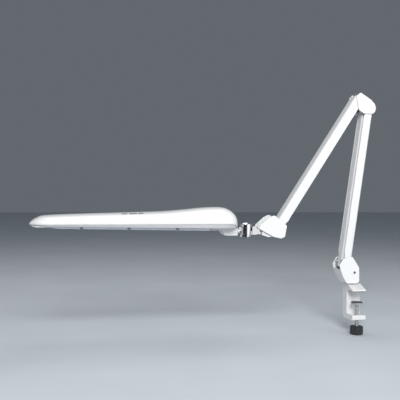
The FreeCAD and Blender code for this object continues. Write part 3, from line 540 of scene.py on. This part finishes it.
def bevelled_box(name, centre, size, width_mm, slot):
    """A new box with all its edges rounded off by this width."""
    work = bmesh.new()
    bmesh.ops.create_cube(work, size=1.0)
    bmesh.ops.scale(work, vec=Vector(size), verts=work.verts)
    bmesh.ops.bevel(work, geom=work.edges, offset=width_mm * MM, segments=3, profile=0.5, affect="EDGES")
    bmesh.ops.translate(work, vec=Vector(centre), verts=work.verts)
    mesh = bpy.data.meshes.new(name)
    work.to_mesh(mesh)
    work.free()
    smooth(mesh, 40)
    return add_mesh(name, mesh, slot)


def make_diffuser_clips():
    """Three small spring clips on each long side, which hold the tray to the band."""
    clip_size = (7 * MM, 1.8 * MM, 4.6 * MM)
    for number, share in enumerate((0.24, 0.46, 0.69)):
        x = HEAD_LEFT + (HEAD_RIGHT - HEAD_LEFT) * share
        for side in (-1, 1):
            name = "clip_%d_%s" % (number, "near" if side < 0 else "far")
            centre = (x, side * (window_half(x) + 0.5 * MM), band_bottom(x) - 2.2 * MM)
            # The clips are real steel parts; their dark colour also stands in for the shade in the band's catch
            # notches, as painted shade
            clip = bevelled_box(name, centre, clip_size, 0.4, "dark_steel")
            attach(clip, "head")


def make_gear_cover():
    """Shallow step under the ballast that carries the tray's line on to the bearing block."""
    low = diffuser_bottom(WINDOW_RIGHT)
    top = band_bottom(WINDOW_RIGHT) + 0.3 * MM
    left = WINDOW_RIGHT - 0.2 * MM
    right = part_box("roll_housing")[0].x + 1.5 * MM
    near, far = -35.5 * MM, 25 * MM
    centre = ((left + right) / 2, (near + far) / 2, (low + top) / 2)
    size = (right - left, far - near, top - low)
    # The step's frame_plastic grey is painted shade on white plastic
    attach(bevelled_box("gear_cover", centre, size, 1.0, "frame_plastic"), "head")


def make_crown_mark():
    """Three plain raised dashes on the near side of the crown, with no lettering."""
    dashes = ((0, 13), (18, 19), (40, 13))  # (start, length) in mm
    start = HEAD_LEFT + 223 * MM
    y = -28 * MM
    step = 4 * MM
    for number, (offset, length) in enumerate(dashes):
        x = start + (offset + length / 2) * MM
        rise = (shell_height(x + step, y) - shell_height(x - step, y)) / (2 * step)
        lean = (shell_height(x, y + step) - shell_height(x, y - step)) / (2 * step)
        size = (length * MM, 5 * MM, 0.6 * MM)
        dash = bevelled_box("crown_mark_%d" % number, (0, 0, 0), size, 0.25, "black_plastic")
        turn = Matrix.Rotation(-math.atan(rise), 4, "Y") @ Matrix.Rotation(math.atan(lean), 4, "X")
        dash.data.transform(Matrix.Translation((x, y, shell_height(x, y))) @ turn)
        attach(dash, "head")


# ---------------------------------------------------------------- arms

# The channel's section in mm: half width, web and lips from the pivot line, corner radius.
CHANNEL_HALF = 19.9
WEB_OFFSET = 10.0
LIP_OFFSET = 14.0
CORNER = 7.0
# Its ends in mm: the ear's radius, where its taper starts, where the full lip starts, and where the
# web stops, which is nearer the pivot at the upper arm's elbow end.
END_RADIUS = 8.0
TAPER_FROM = 9.2
LIP_RUN = 23.0
WEB_CUTBACK = 15.0
ELBOW_WEB_CUTBACK = 1.0
# The link bar's spring pin and the channel's spring tab, from the pivots along the arm.
PIN_AT = 82 * MM
TAB_AT = 249.5 * MM


def channel_profile():
    """(across, towards the open side) points of the channel's middle surface, lip to lip, in mm."""
    half, web = CHANNEL_HALF, -WEB_OFFSET
    corner_steps = 9
    points = [(half, v) for v in (LIP_OFFSET, 13, 12, 11, 10, TAPER_FROM, 8, 6, 4, 2, 0, -1.5)]
    centre = (half - CORNER, web + CORNER)
    for i in range(1, corner_steps):
        angle = math.radians(-90 * i / corner_steps)
        points.append((centre[0] + CORNER * math.cos(angle), centre[1] + CORNER * math.sin(angle)))
    points += [(half - CORNER, web), (half - CORNER - 4, web), (4, web), (0, web)]
    mirrored = [(-y, v) for y, v in reversed(points[:-1])]
    return points + mirrored


def flange_end(v):
    """Where a flange ends, measured inward from its pivot: round, then tapered up to the full lip."""
    if v > TAPER_FROM:
        return -END_RADIUS + (v - END_RADIUS) * (LIP_RUN + END_RADIUS) / (LIP_OFFSET - END_RADIUS)
    shoulder = 1.4
    rise = max(0.0, v - shoulder) if v > 0 else min(-v, END_RADIUS)
    return -math.sqrt(END_RADIUS ** 2 - rise ** 2)


def channel_end(y, v, web_end):
    """Where the sheet ends at this point of the profile, measured inward from the pivot, in mm."""
    steepness = 2.2
    flange = flange_end(v)
    share = (CHANNEL_HALF - abs(y)) / CORNER
    return flange + (web_end - flange) * min(1.0, share * steepness)


def arm_axes(start, end):
    """Unit vectors along the arm and towards its open side."""
    along = (end - start).normalized()
    return along, Vector((-along.z, 0, along.x))


def make_channel(node, start, end, first_web_end):
    """Pressed steel channel with a soft-cornered web, rounded ears and the spring's tab."""
    along, side = arm_axes(start, end)
    across = Vector((0, 1, 0))
    length = (end - start).length / MM
    shares = [0.0, 0.004, 0.01, 0.02, 0.035, 0.06, 0.1, 0.2, 0.35, 0.5,
              0.65, 0.8, 0.9, 0.94, 0.965, 0.98, 0.99, 0.996, 1.0]
    sections = []
    for share in shares:
        ring = []
        for y, v in channel_profile():
            first = channel_end(y, v, first_web_end)
            last = length - channel_end(y, v, WEB_CUTBACK)
            u = first + (last - first) * share
            ring.append(start + along * u * MM + side * v * MM + across * y * MM)
        sections.append(ring)
    mesh = loft(node + "_pressing", sections, False)
    smooth(mesh, 50)
    obj = add_mesh(node + "_pressing", mesh, node)
    sign = surface_sign(mesh, start + along * length / 2 * MM)
    modifier(obj, "SOLIDIFY", thickness=2 * MM, offset=sign, use_even_offset=True)
    modifier(obj, "BEVEL", width=0.5 * MM, segments=2, limit_method="ANGLE",
             angle_limit=math.radians(50))
    tab = bevelled_box(node + "_tab", (0, 0, 0), (3 * MM, 8 * MM, 16 * MM), 0.4, node)
    turn = Matrix((along, across, side)).transposed().to_4x4()
    tab.data.transform(Matrix.Translation(start + along * TAB_AT) @ turn)
    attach(tab, BODY_OF[node])
    stand_in(node, obj)


def surface_sign(mesh, inside):
    """-1 if the normals point away from a point inside the form, else 1."""
    score = 0.0
    for polygon in mesh.polygons:
        score += (polygon.center - inside).dot(polygon.normal) * polygon.area
    return -1.0 if score > 0 else 1.0


def make_spring(node, along, side, pin, tab):
    """Close-wound extension spring, hooked behind the bar's pin and into the channel's tab."""
    radius, wire, pitch = 3.7 * MM, 0.6 * MM, 1.5 * MM
    half, lead = 62 * MM, 5 * MM
    per_turn = 10
    hook = ((2.4, 1.2), (2.4, -2.5), (1.2, -4.2))  # (behind the pin, to the open side) in mm
    low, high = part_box(node)
    centre = (low + high) / 2
    across = Vector((0, 1, 0))
    curve = bpy.data.curves.new(node + "_coil", "CURVE")
    curve.dimensions = "3D"
    curve.bevel_depth = wire
    curve.bevel_resolution = 2
    points = [pin - along * behind * MM + side * out * MM for behind, out in hook]
    points.append(centre - along * (half + lead))
    steps = int(2 * half / pitch) * per_turn
    for i in range(steps + 1):
        angle = 2 * math.pi * i / per_turn
        reach = -half + 2 * half * i / steps
        spoke = side * math.cos(angle) + across * math.sin(angle)
        points.append(centre + along * reach + spoke * radius)
    points += [centre + along * (half + lead), tab]
    spline = curve.splines.new("POLY")
    spline.points.add(len(points) - 1)
    for target, point in zip(spline.points, points):
        target.co = (*point, 1.0)
    obj = bpy.data.objects.new(node + "_coil", curve)
    bpy.context.scene.collection.objects.link(obj)
    curve.materials.append(MATERIALS["spring_steel"])
    stand_in(node, obj)


def make_springs():
    """One spring in each arm, from the link bar's pin to the channel's tab."""
    for node, pivot, far_pivot, bar_pivot in (
            ("lower_spring", "lower_arm_tilt", "elbow_level", "lower_link_follow"),
            ("upper_spring", "upper_arm_tilt", "wrist_level", "upper_link_follow")):
        along, side = arm_axes(PIVOTS[pivot], PIVOTS[far_pivot])
        pin = PIVOTS[bar_pivot] + along * PIN_AT
        tab = PIVOTS[pivot] + along * TAB_AT + side * 5 * MM
        make_spring(node, along, side, pin, tab)


# ---------------------------------------------------------------- elbow

def make_elbow_ridge():
    """Thin top wall between the elbow covers, over the end of the upper arm."""
    pivot = PIVOTS["upper_arm_tilt"]
    outer = [(-0.4, 10.6), (0.8, 11), (2, 10.9), (3.5, 10.4), (7, 8.3), (11.6, 5.6)]
    thick, half_width = 0.6, 21.5
    inner = []
    for x, z in reversed(outer):
        share = 1 - thick / math.hypot(x, z)
        inner.append((x * share, z * share))
    sections = []
    for y in (-half_width, half_width):
        sections.append([pivot + Vector((x, y, z)) * MM for x, z in outer + inner])
    mesh = loft("elbow_ridge", sections, True, cap_ends=True)
    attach(add_mesh("elbow_ridge", mesh, "elbow_cover_near"), "elbow")


# ---------------------------------------------------------------- clamp spindle

def level_ring(axis, z, radii):
    """Ring of points round an upright axis, one for each radius."""
    ring = []
    for number, radius in enumerate(radii):
        angle = 2 * math.pi * number / len(radii)
        ring.append(Vector((axis.x + radius * math.cos(angle), axis.y + radius * math.sin(angle), z)))
    return ring


def make_spindle():
    """Spindle with a 1.5 mm helical thread over its length and a plain neck at the top."""
    low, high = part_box("clamp_spindle")
    axis = (low + high) / 2
    pitch, deep, outer, neck = 1.5 * MM, 0.8 * MM, 4.98 * MM, 3 * MM
    columns, per_turn = 32, 6
    stem_top = high.z - 4.1 * MM
    rows = int((stem_top - low.z) / pitch * per_turn)
    sections = []
    for row in range(rows + 1):
        z = low.z + (stem_top - low.z) * row / rows
        end_taper = min(1.0, (z - low.z) / MM, (stem_top - z) / MM)
        radii = []
        for column in range(columns):
            wave = abs(2 * ((z / pitch - column / columns) % 1.0) - 1)
            radii.append(outer - deep * max(wave, 1 - end_taper))
        sections.append(level_ring(axis, z, radii))
    for z in (stem_top + 0.2 * MM, high.z):
        sections.append(level_ring(axis, z, [neck] * columns))
    mesh = loft("spindle_thread", sections, True, cap_ends=True)
    smooth(mesh, 40)
    stand_in("clamp_spindle", add_mesh("spindle_thread", mesh, "clamp_spindle"))


# ---------------------------------------------------------------- stage

# (name, place, what it points at, size, watts)
LIGHTS = [
    ("key", (-0.8, -2.5, 1.75), (-0.3, 0, 0.25), 1.2, 76),
    ("right", (1.6, -1.5, 0.75), (-0.3, 0, 0.2), 1.6, 14),
    ("strip", (0.75, -2.3, 0.35), (-0.3, 0, 0.2), 0.9, 2),
    ("left_back", (-2.3, 1.0, 0.45), (-0.3, 0, 0.2), 1.2, 3.5),
    ("top", (-0.3, 0.6, 2.4), (-0.35, 0, 0.2), 1.6, 14),
]


def make_card(name, centre, width, turn_degrees):
    """Dark upright card that only shows as a reflection in the chrome."""
    height, colour = 0.8, (0.03, 0.02, 0.018)
    bpy.ops.mesh.primitive_plane_add(size=1, location=centre)
    card = bpy.context.object
    card.name = name
    card.scale = (width, height, 1)
    card.rotation_euler = (math.pi / 2, 0, math.radians(turn_degrees))
    card.data.materials.append(Shader(name, colour, 0.9).material)
    card.visible_camera = False
    card.visible_shadow = False


def make_floor(floor_z):
    """Pale floor that runs far back."""
    bpy.ops.mesh.primitive_plane_add(size=14, location=(0, 2, floor_z))
    floor = bpy.context.object
    floor.name = "floor"
    shader = Shader("floor_pale", (0.62, 0.66, 0.70), 0.7)
    shader.tint(3.0, (0.60, 0.64, 0.68), (0.64, 0.68, 0.72))
    floor.data.materials.append(shader.material)


def make_world():
    """Dim, slightly blue surroundings."""
    world = bpy.data.worlds.new("studio")
    bpy.context.scene.world = world
    world.use_nodes = True
    background = world.node_tree.nodes["Background"]
    background.inputs["Color"].default_value = (0.62, 0.70, 0.78, 1)
    background.inputs["Strength"].default_value = 0.2


def make_lights():
    """Square lamps, each turned to its target."""
    for name, location, target, size, power in LIGHTS:
        data = bpy.data.lights.new(name, "AREA")
        data.size = size
        data.energy = power
        light = bpy.data.objects.new(name, data)
        light.location = location
        light.rotation_euler = (Vector(target) - Vector(location)).to_track_quat("-Z", "Y").to_euler()
        bpy.context.scene.collection.objects.link(light)


def make_stage():
    """Pale floor, a key light above the camera, weaker side lights, and dark cards for the chrome."""
    floor_z = cad_bounds[0][2] - 2 * MM
    card_z = floor_z + 0.42
    make_floor(floor_z)
    make_card("dark_card_front", (-1.2, -2.3, card_z), 2.8, 0)
    make_card("dark_card_left", (-2.6, -1.3, card_z), 2.0, 90)
    make_world()
    make_lights()
    bpy.context.scene.view_settings.view_transform = "Standard"


def make_camera():
    """Camera a little above the head, before its left end and turned to the right."""
    data = bpy.data.cameras.new("view")
    data.lens = 56.88
    data.sensor_width = 36
    data.clip_end = 60
    camera = bpy.data.objects.new("view", data)
    heading, pitch, roll = math.radians(-12), math.radians(0.907), math.radians(0.4)
    upright = Matrix.Rotation(heading, 4, "Z") @ Matrix.Rotation(math.pi / 2 - pitch, 4, "X")
    turn = upright @ Matrix.Rotation(roll, 4, "Z")
    camera.matrix_world = Matrix.Translation((-0.7609, -1.5903, 0.2674)) @ turn
    bpy.context.scene.collection.objects.link(camera)
    bpy.context.scene.camera = camera


# ---------------------------------------------------------------- build

# Rounding of each finished CAD node's edges, in mm.
EDGE_ROUNDING = {
    "clamp_frame": 1.6, "clamp_knob": 1.4, "pressure_foot": 0.6, "foot_pad": 0.4, "jaw_pad": 0.4,
    "swivel_bush": 0.4, "base_bracket": 0.5, "base_cover_near": 1.1, "base_cover_far": 1.1,
    "elbow_cover_near": 1.1, "elbow_cover_far": 1.1, "wrist_cover_near": 1.1, "wrist_cover_far": 1.1,
    "elbow_plate_near": 0.5, "elbow_plate_far": 0.5, "wrist_bracket": 0.8, "lower_link_bar": 0.5,
    "upper_link_bar": 0.5, "tilt_fork": 0.8, "swivel_barrel": 0.6, "barrel_cap": 0.4,
    "roll_housing": 1.6, "cable_gland": 0.5, "switch_button": 0.5, "lamp_cap": 0.8,
    "lampholder": 0.8, "ballast": 0.8,
}


def assign_cad_materials():
    """Gives every CAD node the material of its slot."""
    for node, obj in frame["nodes"].items():
        obj.data.materials.clear()
        obj.data.materials.append(MATERIALS[SLOT_OF[node]])


def main():
    make_camera()
    make_stage()
    assign_cad_materials()
    make_upper_shell()
    make_lower_frame()
    make_diffuser()
    make_diffuser_clips()
    make_gear_cover()
    make_crown_mark()
    make_channel("lower_arm_channel", PIVOTS["lower_arm_tilt"], PIVOTS["elbow_level"], WEB_CUTBACK)
    make_channel("upper_arm_channel", PIVOTS["upper_arm_tilt"], PIVOTS["wrist_level"], ELBOW_WEB_CUTBACK)
    make_springs()
    make_elbow_ridge()
    make_spindle()
    for node, width in EDGE_ROUNDING.items():
        softened(node, width)


main()
